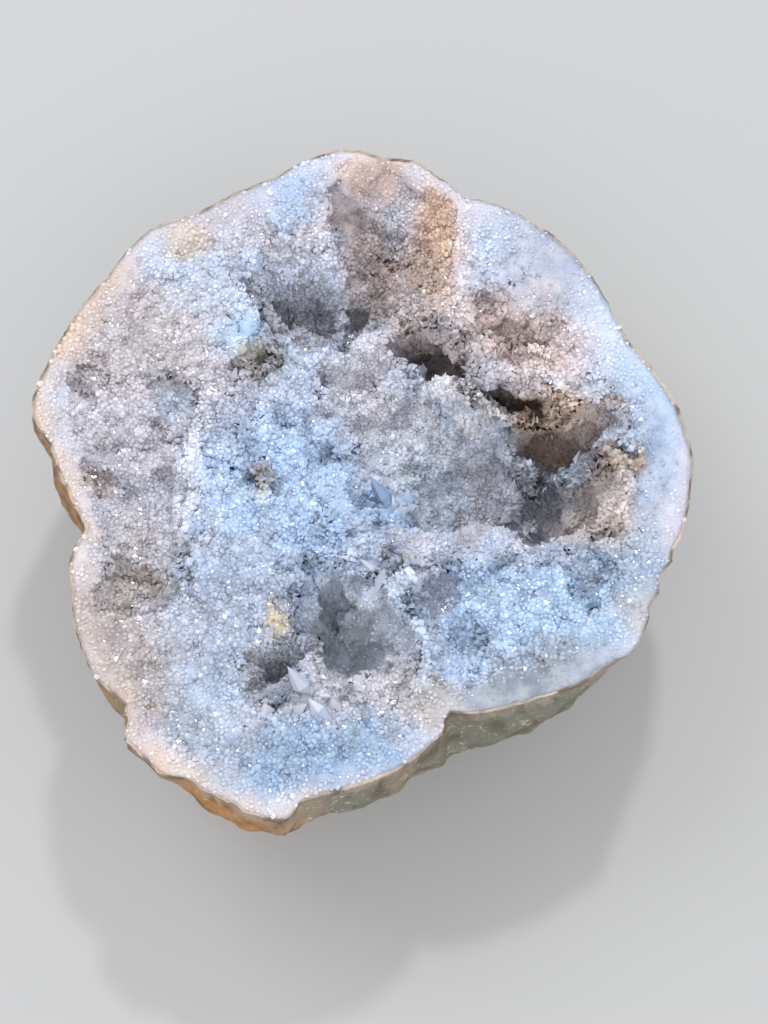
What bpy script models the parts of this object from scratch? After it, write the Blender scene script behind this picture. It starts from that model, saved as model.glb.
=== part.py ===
# A quartz half geode that rests on its back, broken face up.
# The rind is the nodule's wall. The crystal crust lines its face and its hollows.

import math

import bmesh
import bpy
import numpy as np
from mathutils import Vector, noise
from mathutils.geometry import delaunay_2d_cdt

# Sizes are in millimetres up to the last step, where MM turns them into metres.
MM = 0.001

# The broken face stands this high over the resting spot.
FACE_HEIGHT = 78.0

# The edge of the broken face, seen from above, anticlockwise from the right.
FACE_EDGE = (
    (91.0, -3.0), (90.5, 8.5), (88.0, 17.5), (75.0, 37.5), (72.0, 45.0), (60.0, 66.0),
    (53.5, 72.0), (46.5, 77.0), (39.0, 80.5), (30.5, 82.5), (15.5, 95.0), (7.0, 96.0),
    (-3.0, 99.0), (-7.5, 98.5), (-17.5, 94.5), (-24.5, 89.5), (-46.5, 78.0), (-60.5, 72.5),
    (-68.0, 64.0), (-72.5, 56.5), (-78.0, 49.5), (-82.0, 42.0), (-91.0, 19.0), (-91.0, 14.0),
    (-88.5, 9.5), (-85.5, 5.5), (-80.0, -8.5), (-74.5, -18.0), (-74.5, -21.0), (-77.0, -25.5),
    (-78.0, -30.0), (-76.5, -37.0), (-75.5, -46.5), (-73.0, -53.5), (-69.0, -61.0),
    (-60.5, -68.5), (-59.5, -71.0), (-61.0, -72.5), (-60.5, -77.0), (-53.0, -84.5),
    (-49.5, -87.0), (-45.0, -87.5), (-42.0, -88.5), (-39.0, -91.0), (-31.5, -94.0),
    (-29.5, -96.0), (-20.5, -98.5), (-18.0, -98.5), (-14.5, -94.0), (-11.5, -92.5),
    (8.5, -86.5), (15.0, -82.5), (19.0, -78.5), (22.0, -76.5), (22.5, -72.5), (24.0, -70.5),
    (30.0, -71.0), (46.5, -67.0), (59.5, -62.0), (64.5, -58.0), (71.0, -55.0), (74.5, -51.5),
    (78.0, -41.5), (80.5, -37.0), (81.0, -33.0), (84.0, -29.0), (85.0, -25.5), (88.0, -20.0),
)

# Hollows in the face: name, centre x and y, half length, half width, turn in degrees,
# depth, and the share of the way to the centre that the sloping wall takes.
HOLLOWS = (
    ("main bowl", 16, 12, 58, 46, -28, 32, 0.9),
    ("upper bowl", -2, 52, 36, 27, -8, 23, 0.9),
    ("bowl floor", 30, 2, 32, 27, -20, 45, 0.8),
    ("upper left recess", -17, 55, 18, 11, -14, 28, 0.65),
    ("middle channel", -3, 52, 7, 24, 4, 28, 0.9),
    ("top chute", 9, 72, 18, 32, 0, 22, 1.0),
    ("curtain cave", 25, 41, 17, 8.5, -25, 43, 0.5),
    ("cave between", 42, 30, 12, 8, -30, 43, 0.5),
    ("right cave", 56, 13, 17, 11, -24, 46, 0.5),
    ("right floor", 50, -6, 21, 18, -10, 45, 0.7),
    ("right slit", 71, 4, 7, 2.2, -42, 9, 1.0),
    ("right pocket", 62, -33, 5, 6, 10, 10, 1.0),
    ("valley", 22, -42, 7, 22, 8, 14, 1.0),
    ("lower hole", -6, -44, 12, 20, 24, 34, 0.6),
    ("hole slope", 2, -47, 13, 20, 24, 21, 1.0),
    ("small hole", -26, -58, 7, 6, 20, 15, 0.9),
    ("left trough", -60, -8, 15, 35, 8, 11, 0.7),
    ("trough pocket", -70, -5, 6, 4, -10, 12, 1.0),
    ("trough hollow", -60, -34, 11, 6, 22, 10, 1.0),
    ("edge pocket", -54, 18, 8, 6, 0, 7, 1.0),
    ("small pit", -77, 28, 3, 2, 20, 5, 0.8),
    ("seam pocket", -31, 35, 9, 4, -8, 13, 1.0),
    ("tan crack", -26, -3, 2.5, 7, 5, 8, 1.0),
    ("deep void", -2, 14, 4, 5, 0, 32, 0.7),
    ("side void", -14, 28, 2.5, 5, 0, 26, 0.7),
    ("crease under pale lump", 46, 51, 13, 4, -14, 11, 0.9),
    ("crease beside pale lump", 37, 58, 3, 6, 20, 7, 1.0),
)

# Rounded masses on the face: name, centre x and y, half length, half width, turn, height.
LOBES = (
    ("left crest", -43, -8, 6, 32, -4, 5.0),
    ("left face top", -22, 25, 12, 9, -10, 4.5),
    ("left face right", -7, 15, 9, 8, 0, 4.5),
    ("left face middle", -4, -3, 12, 11, 0, 5.5),
    ("left face side", -24, 8, 8, 10, 0, 3.5),
    ("left face outer", -26, -20, 12, 11, 0, 3.5),
    ("left face low", -7, -20, 12, 6, 8, 4.5),
    ("hole left rim", -21, -38, 5, 12, 14, 3.5),
    ("pink lump back", 10, 50, 9, 7, -10, 6.0),
    ("pink lump front", 5, 39, 8, 7, 0, 7.0),
    ("pink lump low", 6, 28, 9, 5, 0, 5.0),
    ("middle lobe", 30, 27, 11, 9, -12, 26.0),
    ("curtain lump", 30, 38, 6, 5, -10, 4.0),
    ("curtain left", 22, 50, 9, 8, -18, 4.0),
    ("curtain tongue", 45, 26, 6, 12, 6, 4.0),
    ("curtain right", 60, 28, 12, 9, -40, 7.0),
    ("pale lump", 49, 58, 12, 7, -20, 4.0),
    ("peach lump", 39, 46, 7, 6, -10, 5.5),
    ("chute lump left", 5, 68, 4, 7, 0, 4.5),
    ("chute lump right", 12, 76, 5, 5, 0, 4.0),
    ("chute lump low", 15, 61, 6, 5, 0, 4.5),
    ("cave lump", 50, 11, 5, 5, 0, 5.0),
    ("peach floor lump", 64, 3, 8, 5, -20, 7.0),
    ("round lump", 49, -4, 3.5, 3.5, 0, 4.0),
    ("right lobe", 68, -15, 9, 18, -10, 4.0),
    ("lower right mass", 36, -30, 10, 8, 0, 4.5),
    ("lower right middle", 52, -34, 9, 9, 0, 4.0),
    ("lower right low", 44, -49, 13, 9, 0, 3.0),
    ("blue crystals", 10, -6, 7, 6, 0, 6.0),
    ("ridge", 13, -44, 7, 24, 12, 8.0),
    ("septum", -14, -57, 4, 8, 25, 6.0),
    ("scalloped lobe", -35, 45, 8, 7, 0, 5.0),
    ("scalloped finger", -33, 40, 3, 4, 0, 4.0),
    ("drip lobe", -10, 66, 9, 13, 0, 4.5),
    ("band lump upper", -50, 52, 13, 8, 45, 2.0),
    ("right band", 80, 12, 8, 26, -18, 2.5),
    ("lower band", -15, -79, 32, 11, 4, 2.5),
)

# Lips that hang over a hollow: name, centre x and y, half length, half width, turn,
# and how far the lip leans out in x and y.
LIPS = (
    ("curtain", 48, 46, 46, 34, -28, -2.0, -11.0),
    ("recess lip", -20, 70, 32, 18, -8, 0.5, -5.0),
    ("scalloped lip", -42, 44, 18, 18, 0, 5.0, -2.0),
    ("crest lip", -38, -8, 16, 36, -4, -4.0, 0.0),
    ("lower right lip", 38, -38, 30, 22, 20, -1.5, 2.5),
    ("lower hole lip", -24, -40, 18, 26, 20, 4.0, 0.0),
    ("hole upper lip", -6, -20, 18, 14, 0, 0.0, -4.0),
)
LIP_FALL = 0.6
LIP_INSET = 16.0

# Lips lean out over this stretch of depth: none below the first, all above the second.
LIP_DEPTHS = (26.0, 12.0)

# Rounded lumps all over the hollows: their size and how far they stand out. The level
# on a lump that keeps its place, and the deepest crease between lumps.
LUMPS = ((14.0, 8.5), (7.0, 4.5))
LUMP_BASE = 0.75
DEEPEST_CREASE = 4.0

# Share of the lumps' height that is left on the solid band.
LUMPS_ON_BAND = 0.15

# Each mass rises like a ball where this is near a half, and like a cone where it is 1.
LOBE_ROUNDNESS = 0.6

# The share of a hollow's wall that falls gently at its edge.
GENTLE_WALL = 0.75

# On the face the lumps only cut in, and below this depth they stand fully out.
LUMPS_FREE_DEPTH = 14.0

# The named shapes wander from their ellipses: how far, and over which distance.
WANDER = ((4.0, 16.0), (2.2, 5.5))

# How hollows run into each other: higher is sharper.
HOLLOW_BLEND = 5.0

# Knobs on the nodule's outside: their size and how far they stand out.
KNOB_BASE = 0.6
KNOBS = ((26.0, 6.0), (11.0, 2.2))

# The nodule's outside: a rounded back, with this exponent in place of a circle's 2.
BACK_ROUNDNESS = 2.2

# The back is cut this far above its lowest point, which gives the flat resting spot.
RESTING_CUT = 3.0

# Where the back's lowest point lies, seen from above: under the centre of mass.
BACK_POLE = (-3.0, 0.0)

# The outside swells or draws in below the edge: angle round the face and swell.
SWELLS = (
    (0, 0.0), (60, 0.5), (120, 1.0), (180, 0.0), (215, -2.0), (232, 0.0), (246, 3.0), (262, 3.0),
    (272, 1.5), (280, 0.5), (288, 2.0), (300, 3.0), (312, 2.0), (322, -0.5), (340, -2.0),
)
SWELL_DEPTH = 44.0

# The edge's notches fade out over this depth of the back, where the edge is averaged
# over this many degrees to each side, in steps.
NOTCH_DEPTH = 50.0
NOTCH_SPREAD = 24
NOTCH_STEP = 4

# Knobs start this far below the bare edge, and stand fully out this much lower.
KNOBS_START = 2.0
KNOBS_FADE = 12.0

# Least thickness of rind, and of rind with crust on it.
RIND_WALL = 6.0
WHOLE_WALL = 11.0

# The crust's least thickness, its thickness at its edge, and the rind's bare edge.
CRUST_THICKNESS = 6.5
CRUST_EDGE = 3.0
BARE_EDGE = 2.2

# Nothing rises far over the face: masses flatten out from the first depth, and the
# highest would stop at the second, which is over the face.
FLATTEN_FROM = 2.5
HIGHEST = -1.0

# The face drops this much at its very edge, within this distance of it.
EDGE_DROP = 1.2
EDGE_ROUNDING = 8.0

# The crust's bed keeps clear of the crystals by looking this far to each side.
BED_REACH = 6.0

# The crust and the rind stay this far apart.
GAP = 0.3

# Mesh layout: points round the edge, the pitch of points on each surface, and in pitches
# how unevenly they lie and how far inside the edge they start.
EDGE_POINTS = 120
CRYSTAL_PITCH = 5.7
BED_PITCH = 7.6
BACK_PITCH = 7.4
POINT_JITTER = 0.16
LAYOUT_REACH = 110.0
EDGE_CLEARANCE = 0.6

# Crystal tips rise this much over their bed, in the hollows and on the solid band.
TIP_IN_HOLLOW = 2.4
TIP_ON_BAND = 0.7
TIP_UNEVENNESS = 0.4
GROOVE = 0.5

# The solid milky band: full width at the edge, and gone at the second distance.
BAND_REACH = (2.0, 14.0)

# Below the first depth crystals line the band too, and fully below the second.
DRUSE_DEPTHS = (4.0, 12.0)


def smooth_step(value):
    value = np.clip(value, 0.0, 1.0)
    return value * value * (3.0 - 2.0 * value)


def turn_points(count):
    """Angles evenly round a full turn."""
    return np.arange(count) * 2.0 * math.pi / count


def edge_radius(angle):
    """Distance from the middle to the face's edge, in the direction of each angle."""
    corners = np.array(FACE_EDGE)
    corner_angles = np.arctan2(corners[:, 1], corners[:, 0])
    return np.interp(angle, corner_angles, np.hypot(corners[:, 0], corners[:, 1]), period=2 * math.pi)


def rounded_radius(angle):
    """The edge without its notches, which fade down the back."""
    spread = np.radians(np.arange(-NOTCH_SPREAD, NOTCH_SPREAD + 1, NOTCH_STEP))
    return sum(edge_radius(angle + turn) for turn in spread) / len(spread)


def edge_distance(x, y):
    return edge_radius(np.arctan2(y, x)) - np.hypot(x, y)


def reach(x, y, centre_x, centre_y, half_length, half_width, turn):
    """How far out each point lies in a turned ellipse: 0 in the middle, 1 on its edge."""
    cosine = math.cos(math.radians(turn))
    sine = math.sin(math.radians(turn))
    along = (x - centre_x) * cosine + (y - centre_y) * sine
    across = (y - centre_y) * cosine - (x - centre_x) * sine
    return np.hypot(along / half_length, across / half_width)


def back_depth(x, y):
    """Depth of the nodule's outside below the face."""
    share = np.clip(np.hypot(x, y) / edge_radius(np.arctan2(y, x)), 0.0, 1.0)
    return FACE_HEIGHT * (1.0 - share ** BACK_ROUNDNESS) ** (1.0 / BACK_ROUNDNESS)


def wall_fall(inside):
    """The fall of a hollow's wall, from 0 at its edge to 1 on its floor."""
    inside = np.clip(inside, 0.0, 1.0)
    return GENTLE_WALL * smooth_step(inside) + (1.0 - GENTLE_WALL) * inside * (2.0 - inside)


def hollow_depth(x, y):
    total = 0.0
    for _, centre_x, centre_y, half_length, half_width, turn, depth, wall in HOLLOWS:
        inside = 1.0 - reach(x, y, centre_x, centre_y, half_length, half_width, turn)
        total = total + (depth * wall_fall(inside / wall)) ** HOLLOW_BLEND
    return total ** (1.0 / HOLLOW_BLEND)


def lobe_height(x, y):
    height = 0.0
    for _, centre_x, centre_y, half_length, half_width, turn, rise in LOBES:
        out = reach(x, y, centre_x, centre_y, half_length, half_width, turn)
        height = height + rise * np.clip(1.0 - out * out, 0.0, 1.0) ** LOBE_ROUNDNESS
    return height


def noise_at(x, y, size, seed):
    """Smooth noise from -1 to 1 over the face, with details of the given size."""
    places = [Vector((px / size + seed, py / size, 0.0)) for px, py in zip(x, y)]
    return np.array([noise.noise(place) for place in places])


def wander(x, y):
    """Moves points a little, so that the named shapes lose their even outlines."""
    for far, size in WANDER:
        x = x + far * noise_at(x, y, size, 2.0)
        y = y + far * noise_at(x, y, size, 9.0)
    return x, y


def surface_depth(x, y):
    """Depth of the crystal surface below the face, before lumps and crystals."""
    wandered_x, wandered_y = wander(x, y)
    depth = hollow_depth(wandered_x, wandered_y) - lobe_height(wandered_x, wandered_y)
    room = FLATTEN_FROM - HIGHEST
    flattened = FLATTEN_FROM - room * (1.0 - np.exp(-np.maximum(FLATTEN_FROM - depth, 0.0) / room))
    depth = np.where(depth < FLATTEN_FROM, flattened, depth)
    deepest = np.maximum(back_depth(x, y) - WHOLE_WALL, EDGE_DROP)
    inner = smooth_step(edge_distance(x, y) / EDGE_ROUNDING)
    return inner * np.minimum(depth, deepest) + (1.0 - inner) * EDGE_DROP


def bed_depth(x, y):
    """Depth of the rind's inner surface, which is smoother and wider than the crystals'."""
    depth = surface_depth(x, y)
    for angle in turn_points(8):
        side_x = x + BED_REACH * math.cos(angle)
        side_y = y + BED_REACH * math.sin(angle)
        depth = np.maximum(depth, surface_depth(side_x, side_y))
    deepest = np.maximum(back_depth(x, y) - RIND_WALL, EDGE_DROP + CRUST_EDGE)
    return np.minimum(depth + CRUST_THICKNESS, deepest)


def lump_height(positions, size):
    """Rounded lumps with creases between them: 1 on top of a lump, less in a crease."""
    nearest = [noise.voronoi(Vector(position) / size)[0][0] for position in positions]
    return 1.0 - np.clip(np.array(nearest), 0.0, 1.0) ** 2


def druse_share(x, y, depth):
    """1 where crystals line a hollow, 0 on the solid milky band by the edge."""
    from_edge = smooth_step((edge_distance(x, y) - BAND_REACH[0]) / (BAND_REACH[1] - BAND_REACH[0]))
    from_face = smooth_step((depth - DRUSE_DEPTHS[0]) / (DRUSE_DEPTHS[1] - DRUSE_DEPTHS[0]))
    return np.maximum(from_edge, from_face)


def lean_lips(positions):
    """Leans the lips out over their hollows, more the higher a point lies."""
    x, y = positions[:, 0], positions[:, 1]
    depth = FACE_HEIGHT - positions[:, 2]
    above = smooth_step((LIP_DEPTHS[0] - depth) / (LIP_DEPTHS[0] - LIP_DEPTHS[1]))
    leaned = positions.copy()
    for _, centre_x, centre_y, half_length, half_width, turn, lean_x, lean_y in LIPS:
        inside = 1.0 - reach(x, y, centre_x, centre_y, half_length, half_width, turn)
        weight = above * smooth_step(inside / LIP_FALL) * smooth_step(edge_distance(x, y) / LIP_INSET)
        leaned[:, 0] += weight * lean_x
        leaned[:, 1] += weight * lean_y
    return leaned


def ring(radius_less, level):
    """Points round the edge, at a level and inside the face's edge by a distance."""
    angle = turn_points(EDGE_POINTS)
    radius = edge_radius(angle) - radius_less
    return np.column_stack([radius * np.cos(angle), radius * np.sin(angle), np.full(EDGE_POINTS, level)])


def disc_layout(pitch, seed):
    """Triangles over the face: points round its edge, and an uneven lattice inside it."""
    random = np.random.default_rng(seed)
    lattice = []
    for number, row in enumerate(np.arange(-LAYOUT_REACH, LAYOUT_REACH, pitch * math.sqrt(3.0) / 2.0)):
        for column in np.arange(-LAYOUT_REACH, LAYOUT_REACH, pitch):
            lattice.append((column + 0.5 * pitch * (number % 2), row))
    lattice = np.array(lattice)
    lattice += random.uniform(-POINT_JITTER, POINT_JITTER, lattice.shape) * pitch
    edge = ring(BARE_EDGE, 0.0)[:, :2]
    inside = lattice[edge_distance(lattice[:, 0], lattice[:, 1]) > BARE_EDGE + EDGE_CLEARANCE * pitch]
    points = [Vector(point) for point in np.vstack([edge, inside])]
    sides = [(number, (number + 1) % EDGE_POINTS) for number in range(EDGE_POINTS)]
    layout = delaunay_2d_cdt(points, sides, [], 1, 0.001)
    flat = np.array([(point.x, point.y) for point in layout[0]])
    return flat, layout[2]


def add_surface(model, positions, triangles):
    """Adds a sheet of triangles and gives back its vertices."""
    vertices = [model.verts.new(position) for position in positions]
    for triangle in triangles:
        model.faces.new([vertices[corner] for corner in triangle])
    model.normal_update()
    return vertices


def move_along_normals(vertices, distances):
    for vertex, distance in zip(vertices, distances):
        vertex.co += vertex.normal * float(distance)


def positions_of(vertices):
    return np.array([vertex.co[:] for vertex in vertices])


def lump_push(positions, sizes, base):
    """How far rounded lumps of several sizes push a surface out, against their base."""
    return sum(rise * (lump_height(positions, size) - base) for size, rise in sizes)


def grow_crystals(model, vertices, shares, seed):
    """Turns each inner vertex into the tip of a flat-sided crystal."""
    random = np.random.default_rng(seed)
    seams = [edge for edge in model.edges if not edge.is_boundary]
    valleys = bmesh.ops.poke(model, faces=list(model.faces))["verts"]
    bmesh.ops.rotate_edges(model, edges=seams, use_ccw=False)
    model.normal_update()
    heights = TIP_ON_BAND + (TIP_IN_HOLLOW - TIP_ON_BAND) * shares
    heights = heights * random.uniform(1.0 - TIP_UNEVENNESS, 1.0 + TIP_UNEVENNESS, len(heights))
    inner = [not vertex.is_boundary for vertex in vertices]
    move_along_normals(vertices, heights * np.array(inner))
    move_along_normals(valleys, np.full(len(valleys), -GROOVE))


def crust_mesh():
    """The crust: crystals above, and a smoother bed below that lies on the rind."""
    model = bmesh.new()
    flat, triangles = disc_layout(CRYSTAL_PITCH, 3)
    depth = surface_depth(flat[:, 0], flat[:, 1])
    depth[:EDGE_POINTS] = EDGE_DROP
    vertices = add_surface(model, np.column_stack([flat, FACE_HEIGHT - depth]), triangles)
    share = druse_share(flat[:, 0], flat[:, 1], depth)
    inward = 1.0 - smooth_step(depth / LUMPS_FREE_DEPTH)
    push = lump_push(positions_of(vertices), LUMPS, LUMP_BASE + (1.0 - LUMP_BASE) * inward)
    push = np.maximum(push, -DEEPEST_CREASE) * (LUMPS_ON_BAND + (1.0 - LUMPS_ON_BAND) * share)
    push[:EDGE_POINTS] = 0.0
    move_along_normals(vertices, push)
    grow_crystals(model, vertices, share, 11)
    for vertex, leaned in zip(model.verts, lean_lips(positions_of(model.verts))):
        vertex.co = leaned
    bed = add_bed(model)
    move_along_normals(bed[EDGE_POINTS:], np.full(len(bed) - EDGE_POINTS, 0.5 * GAP))
    open_edges = [edge for edge in model.edges if edge.is_boundary]
    bmesh.ops.bridge_loops(model, edges=open_edges)
    return model


def add_bed(model):
    """The surface between crust and rind, facing up. Its edge vertices come first."""
    flat, triangles = disc_layout(BED_PITCH, 5)
    depth = bed_depth(flat[:, 0], flat[:, 1])
    depth[:EDGE_POINTS] = EDGE_DROP + CRUST_EDGE
    return add_surface(model, np.column_stack([flat, FACE_HEIGHT - depth]), triangles)


def back_surface(flat):
    """The nodule's rounded, knobbly outside, flat where it rests."""
    angle = np.arctan2(flat[:, 1], flat[:, 0])
    edge = edge_radius(angle)
    share = np.clip(np.hypot(flat[:, 0], flat[:, 1]) / (edge - BARE_EDGE), 0.0, 1.0)
    power = 2.0 / BACK_ROUNDNESS
    out = np.sin(0.5 * math.pi * share) ** power
    down = np.clip(np.cos(0.5 * math.pi * share), 0.0, 1.0) ** power
    top = FACE_HEIGHT - EDGE_DROP
    depth = down * (top + RESTING_CUT)
    notched = 1.0 - smooth_step(depth / NOTCH_DEPTH)
    radius = out * (notched * edge + (1.0 - notched) * rounded_radius(angle))
    swell_angles, swells = np.array(SWELLS).T
    swell = np.interp(np.degrees(angle), swell_angles, swells, period=360.0)
    radius = radius + swell * np.sin(math.pi * np.clip(depth / SWELL_DEPTH, 0.0, 1.0))
    x = radius * np.cos(angle) + BACK_POLE[0] * down
    y = radius * np.sin(angle) + BACK_POLE[1] * down
    return np.column_stack([x, y, top - depth])


def rind_mesh():
    """The rind: its bed, a low step round the crust, the bare edge and the back."""
    model = bmesh.new()
    bed = add_bed(model)
    move_along_normals(bed[EDGE_POINTS:], np.full(len(bed) - EDGE_POINTS, -0.5 * GAP))
    top = FACE_HEIGHT - EDGE_DROP
    bed_edge = bed[:EDGE_POINTS]
    step = ring(BARE_EDGE - GAP, top - CRUST_EDGE - GAP)
    for vertex, place in zip(bed_edge, step):
        vertex.co = place
    for radius_less in (BARE_EDGE - GAP, 0.0):
        higher = [model.verts.new(place) for place in ring(radius_less, top)]
        for number in range(EDGE_POINTS):
            after = (number + 1) % EDGE_POINTS
            model.faces.new((bed_edge[number], bed_edge[after], higher[after], higher[number]))
        bed_edge = higher
    flat, triangles = disc_layout(BACK_PITCH, 7)
    vertices = add_surface(model, back_surface(flat), [triangle[::-1] for triangle in triangles])
    positions = positions_of(vertices)
    below_edge = smooth_step((top - positions[:, 2] - KNOBS_START) / KNOBS_FADE)
    move_along_normals(vertices, lump_push(positions, KNOBS, KNOB_BASE) * below_edge)
    for vertex in vertices:
        vertex.co.z = max(vertex.co.z, 0.0)
    bmesh.ops.remove_doubles(model, verts=model.verts, dist=0.01)
    return model


def plain_material(name, colour, roughness):
    material = bpy.data.materials.new(name)
    material.use_nodes = True
    shader = material.node_tree.nodes["Principled BSDF"]
    shader.inputs["Base Color"].default_value = (*colour, 1.0)
    shader.inputs["Roughness"].default_value = roughness
    return material


def centre_over_origin(models):
    """Moves all the meshes together, so that their common box stands over the origin."""
    positions = np.vstack([positions_of(model.verts) for model in models])
    middle = 0.5 * (positions.min(axis=0) + positions.max(axis=0))
    for model in models:
        bmesh.ops.translate(model, vec=(-middle[0], -middle[1], 0.0), verts=model.verts)


def add_piece(name, model, material, collection):
    """Makes a named object of a finished mesh, in metres."""
    bmesh.ops.scale(model, vec=(MM, MM, MM), verts=model.verts)
    bmesh.ops.recalc_face_normals(model, faces=model.faces)
    mesh = bpy.data.meshes.new(name)
    model.to_mesh(mesh)
    model.free()
    mesh.materials.append(material)
    piece = bpy.data.objects.new(name, mesh)
    collection.objects.link(piece)


def build():
    for item in list(bpy.data.objects):
        bpy.data.objects.remove(item)
    collection = bpy.data.collections.new("quartz half geode")
    bpy.context.scene.collection.children.link(collection)
    rind = rind_mesh()
    crust = crust_mesh()
    centre_over_origin((rind, crust))
    stained = plain_material("stained rind", (0.55, 0.40, 0.24), 0.8)
    milky = plain_material("milky quartz", (0.80, 0.84, 0.92), 0.3)
    add_piece("rind", rind, stained, collection)
    add_piece("crystal_crust", crust, milky, collection)


build()
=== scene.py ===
import math

import bpy
import numpy as np
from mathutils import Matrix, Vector, noise
from mathutils.bvhtree import BVHTree
from mathutils.geometry import delaunay_2d_cdt


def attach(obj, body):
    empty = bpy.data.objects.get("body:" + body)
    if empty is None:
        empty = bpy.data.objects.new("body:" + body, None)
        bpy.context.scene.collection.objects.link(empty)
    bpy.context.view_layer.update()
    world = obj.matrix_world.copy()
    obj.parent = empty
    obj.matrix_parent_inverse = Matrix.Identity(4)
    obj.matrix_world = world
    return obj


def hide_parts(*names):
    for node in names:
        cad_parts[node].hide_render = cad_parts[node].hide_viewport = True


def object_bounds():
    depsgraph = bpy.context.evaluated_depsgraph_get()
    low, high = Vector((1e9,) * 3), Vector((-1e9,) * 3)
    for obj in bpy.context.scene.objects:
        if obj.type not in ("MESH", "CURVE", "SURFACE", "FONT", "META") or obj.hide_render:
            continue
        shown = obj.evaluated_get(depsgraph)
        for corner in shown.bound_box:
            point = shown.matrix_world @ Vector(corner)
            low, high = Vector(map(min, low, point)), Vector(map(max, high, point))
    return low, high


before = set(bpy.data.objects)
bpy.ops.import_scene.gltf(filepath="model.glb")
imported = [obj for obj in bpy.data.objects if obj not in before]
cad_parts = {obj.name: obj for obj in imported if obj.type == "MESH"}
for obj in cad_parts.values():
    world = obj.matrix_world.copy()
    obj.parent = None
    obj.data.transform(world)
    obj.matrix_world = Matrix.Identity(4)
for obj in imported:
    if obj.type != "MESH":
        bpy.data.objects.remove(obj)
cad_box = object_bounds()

scene = bpy.context.scene


# The table, the light and the camera.
# The half geode lies on a plain pale table top. Soft daylight comes over its upper left side, weaker light
# from its lower right and its front, and the camera looks down on the broken face from the front.

def add_object(name, data):
    thing = bpy.data.objects.new(name, data)
    scene.collection.objects.link(thing)
    return thing


def add_soft_light(name, place, size, energy, colour):
    light = bpy.data.lights.new(name, "AREA")
    light.size = size
    light.energy = energy
    light.color = colour
    lamp = add_object(name, light)
    lamp.location = place
    lamp.rotation_euler = (Vector((0.0, 0.0, 0.06)) - Vector(place)).to_track_quat("-Z", "Y").to_euler()


add_soft_light("daylight", (-0.42, 0.30, 0.80), 0.42, 2.3, (0.95, 0.97, 1.0))
add_soft_light("warm light", (0.55, -0.35, 0.60), 0.50, 0.9, (1.0, 0.92, 0.84))
add_soft_light("front light", (-0.05, -0.60, 0.55), 0.60, 1.45, (1.0, 0.98, 0.96))
add_soft_light("glint light", (0.10, 0.45, 0.85), 0.06, 2.4, (1.0, 1.0, 1.0))

world = bpy.data.worlds.new("room")
world.use_nodes = True
world.node_tree.nodes["Background"].inputs["Color"].default_value = (0.92, 0.95, 1.0, 1.0)
world.node_tree.nodes["Background"].inputs["Strength"].default_value = 0.85
scene.world = world
scene.view_settings.view_transform = "Standard"

TABLE_HALF = 15.0
table_top = bpy.data.meshes.new("table_top")
table_top.from_pydata(
    [(-TABLE_HALF, -TABLE_HALF, -0.0001), (TABLE_HALF, -TABLE_HALF, -0.0001),
     (TABLE_HALF, TABLE_HALF, -0.0001), (-TABLE_HALF, TABLE_HALF, -0.0001)],
    [], [(0, 1, 2, 3)])
pale_paint = bpy.data.materials.new("pale_paint")
pale_paint.use_nodes = True
paint_shader = pale_paint.node_tree.nodes["Principled BSDF"]
paint_shader.inputs["Base Color"].default_value = (0.47, 0.47, 0.465, 1.0)
paint_shader.inputs["Roughness"].default_value = 0.7
table_top.materials.append(pale_paint)
add_object("table_top", table_top)

LOOKED_AT = Vector((0.00712, -0.01457, 0.078))
CAMERA_DISTANCE = 0.450
CAMERA_TILT = math.radians(20.0)
camera = bpy.data.cameras.new("camera")
camera.lens = 58.9
camera.dof.use_dof = False
viewer = add_object("camera", camera)
towards_camera = Vector((0.0, -math.sin(CAMERA_TILT), math.cos(CAMERA_TILT)))
viewer.location = LOOKED_AT + CAMERA_DISTANCE * towards_camera
viewer.rotation_euler = (CAMERA_TILT, 0.0, 0.0)
scene.camera = viewer


# The rind: the nodule's outer wall, rough chalcedony a few millimetres thick that the crystals grew on.
# It is knobbly, stained orange and tan by iron, and grey-green at the lower right. The break left its edge
# bare round the face, its inner wall follows the hollows, and it lies on a flattened spot.

# Sizes are in millimetres in the row's own layout, and MM and ROW_SHIFT bring them into the frame.
MM = 0.001
ROW_SHIFT = np.array([0.42, 0.63, 0.0])
FACE_HEIGHT = 78.0

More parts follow.
